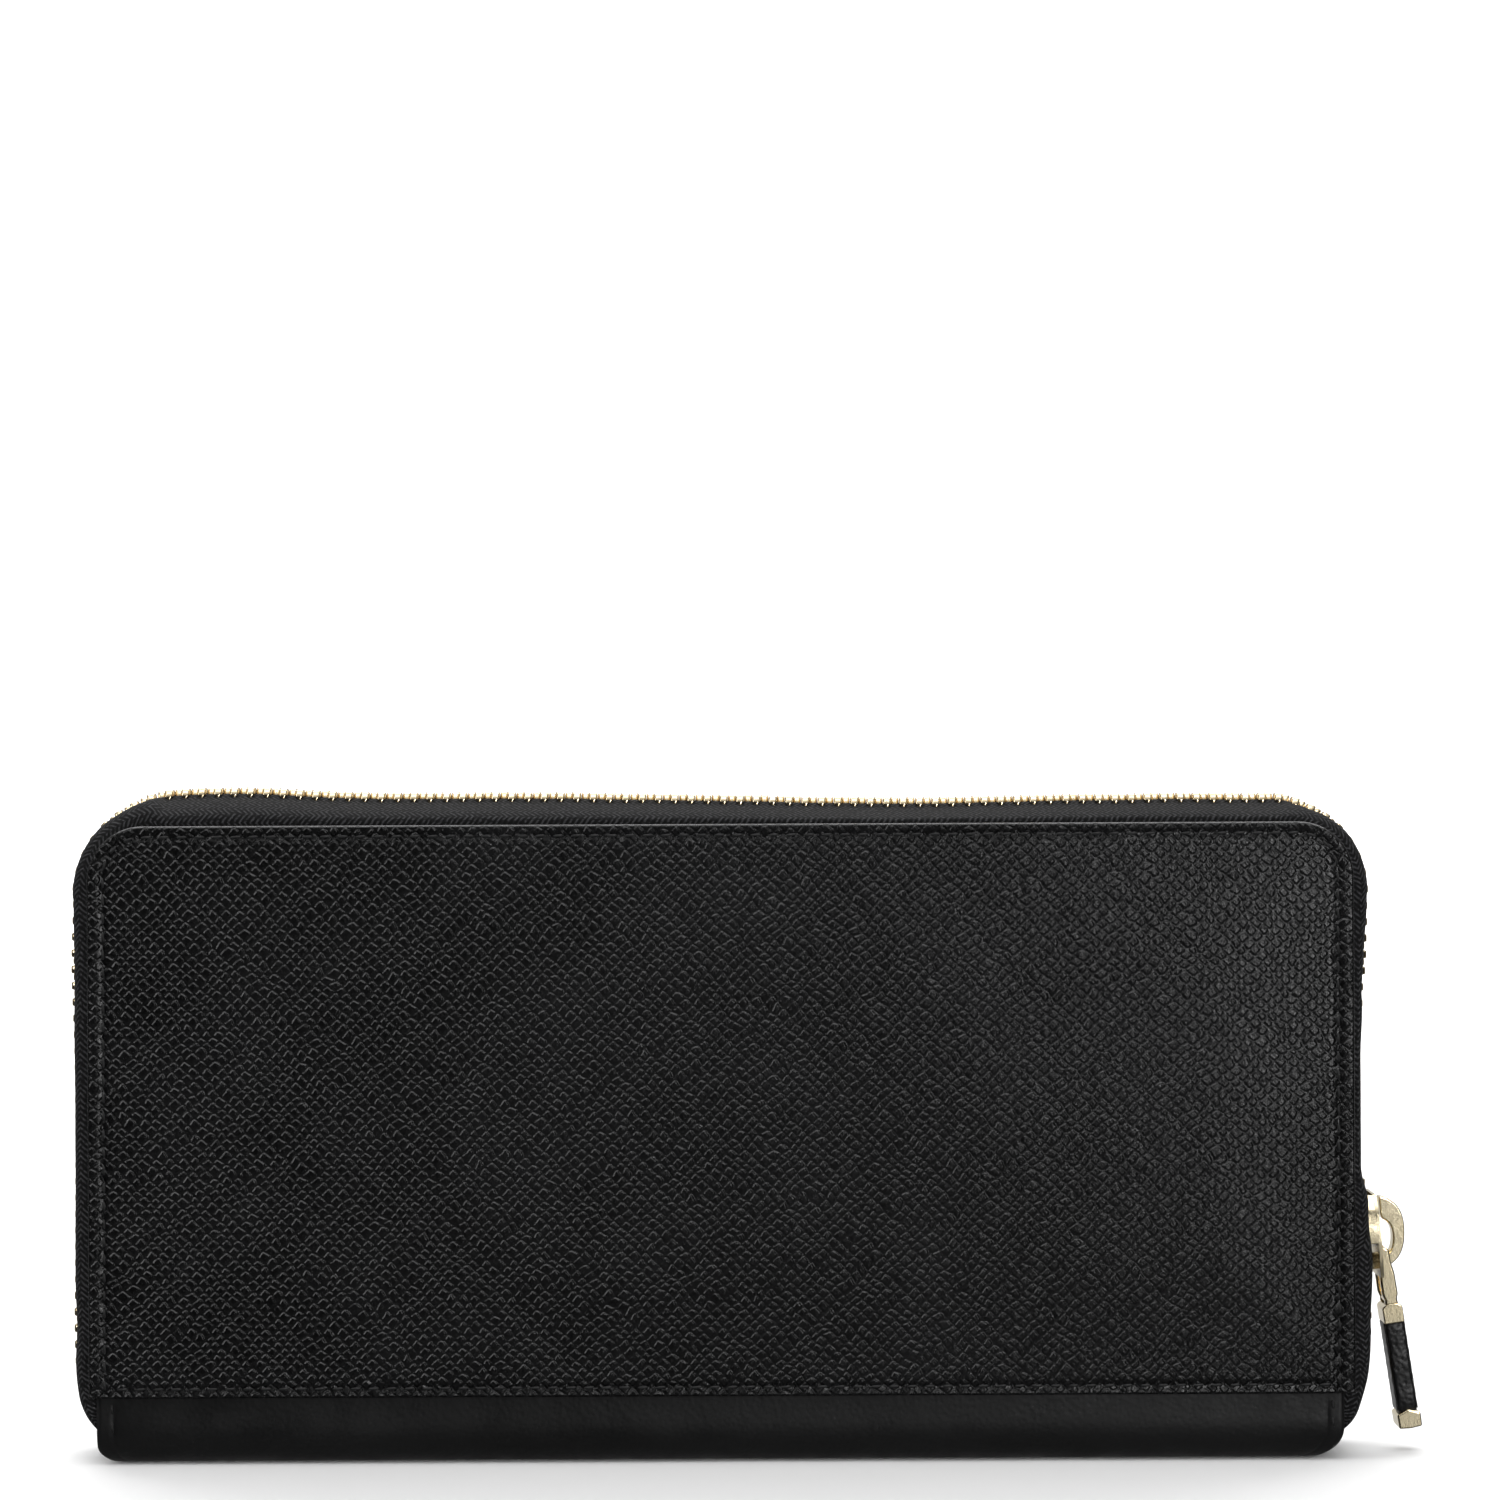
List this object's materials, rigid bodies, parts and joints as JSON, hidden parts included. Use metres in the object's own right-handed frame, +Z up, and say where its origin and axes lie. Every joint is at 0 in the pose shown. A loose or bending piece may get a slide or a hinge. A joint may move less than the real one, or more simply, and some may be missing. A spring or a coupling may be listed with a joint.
{
  "type": "zip around wallet",
  "caption": "Long zip around wallet of embossed leather, standing closed on its spine, with a hooked slider and bar pull, card slots and a zipped coin pocket inside.",
  "frame": {"origin": "middle of the flat face under the spine, which the wallet stands on", "axes": "+Z up from the spine to the zipped top, +X towards the end where the main slider stops, -Y out of the back cover"},
  "size_m": [0.1982, 0.024, 0.0965],
  "materials": {
    "embossed_leather": "black, cross-hatch embossed, semi-gloss",
    "smooth_leather": "black, fine grain, semi-gloss",
    "gusset_leather": "black, thin and soft, matt",
    "pocket_leather": "black, fine grain, satin",
    "stiffener_board": "pressed board",
    "lining_fabric": "black, fine twill",
    "zip_tape": "black, woven herringbone tape",
    "gold_metal": "pale gold, polished plate"
  },
  "bodies": {
    "spine": {"coin_pocket_back_wall": "pocket_leather", "coin_pocket_base": "pocket_leather", "coin_pocket_front_wall": "pocket_leather", "coin_pocket_left_seam": "pocket_leather", "coin_pocket_right_seam": "pocket_leather", "coin_zip_back_tape": "zip_tape", "coin_zip_back_teeth": "gold_metal", "coin_zip_end_stops": "gold_metal", "coin_zip_front_tape": "zip_tape", "coin_zip_front_teeth": "gold_metal", "gusset_back_left": "gusset_leather", "gusset_back_right": "gusset_leather", "gusset_front_left": "gusset_leather", "gusset_front_right": "gusset_leather", "spine_leather": "smooth_leather", "spine_lining": "lining_fabric"},
    "back_half": {"back_card_slot_1": "pocket_leather", "back_card_slot_2": "pocket_leather", "back_card_slot_3": "pocket_leather", "back_cover_board": "stiffener_board", "back_cover_leather": "embossed_leather", "back_lining": "lining_fabric", "back_zip_end_stops": "gold_metal", "back_zip_tape": "zip_tape", "back_zip_teeth": "gold_metal"},
    "front_half": {"front_card_slot_1": "pocket_leather", "front_card_slot_2": "pocket_leather", "front_card_slot_3": "pocket_leather", "front_cover_board": "stiffener_board", "front_cover_leather": "embossed_leather", "front_lining": "lining_fabric", "front_zip_end_stops": "gold_metal", "front_zip_tape": "zip_tape", "front_zip_teeth": "gold_metal"},
    "main_slider": {"slider_body": "gold_metal", "slider_hook": "gold_metal"},
    "main_pull": {"pull_core": "gold_metal", "pull_end_cap": "gold_metal", "pull_grip_leather": "smooth_leather", "pull_link": "gold_metal"},
    "coin_slider": {"coin_slider_body": "gold_metal", "coin_slider_bridge": "gold_metal"},
    "coin_pull": {"coin_pull_tab": "gold_metal"}
  },
  "joints": [
    {"name": "back_cover_fold", "type": "hinge", "parent": "spine", "child": "back_half", "pos_m": [0, 0, 0.003], "axis": [1, 0, 0], "range_deg": [0, 25], "deforming": ["back_zip_tape", "back_zip_teeth", "back_zip_end_stops", "gusset_back_left", "gusset_back_right", "spine_leather", "spine_lining"]},
    {"name": "front_cover_fold", "type": "hinge", "parent": "spine", "child": "front_half", "pos_m": [0, 0, 0.003], "axis": [-1, 0, 0], "range_deg": [0, 25], "deforming": ["front_zip_tape", "front_zip_teeth", "front_zip_end_stops", "gusset_front_left", "gusset_front_right"]},
    {"name": "main_slider_travel", "type": "slide", "parent": "back_half", "child": "main_slider", "axis": [0, 0, 1], "range_m": [-0.012, 0.042]},
    {"name": "main_pull_swing", "type": "hinge", "parent": "main_slider", "child": "main_pull", "pos_m": [0.0973, 0, 0.0292], "axis": [0, -1, 0], "range_deg": [0, 140]},
    {"name": "coin_slider_travel", "type": "slide", "parent": "spine", "child": "coin_slider", "axis": [1, 0, 0], "range_m": [-0.14, 0], "deforming": ["coin_zip_back_tape", "coin_zip_back_teeth", "coin_zip_front_tape", "coin_zip_front_teeth", "coin_zip_end_stops"]},
    {"name": "coin_pull_swing", "type": "hinge", "parent": "coin_slider", "child": "coin_pull", "pos_m": [0.0722, 0, 0.07585], "axis": [0, 1, 0], "range_deg": [0, 175]}
  ],
  "couplings": [
    {"joint": "front_cover_fold", "follows": "back_cover_fold", "ratio": 1}
  ]
}
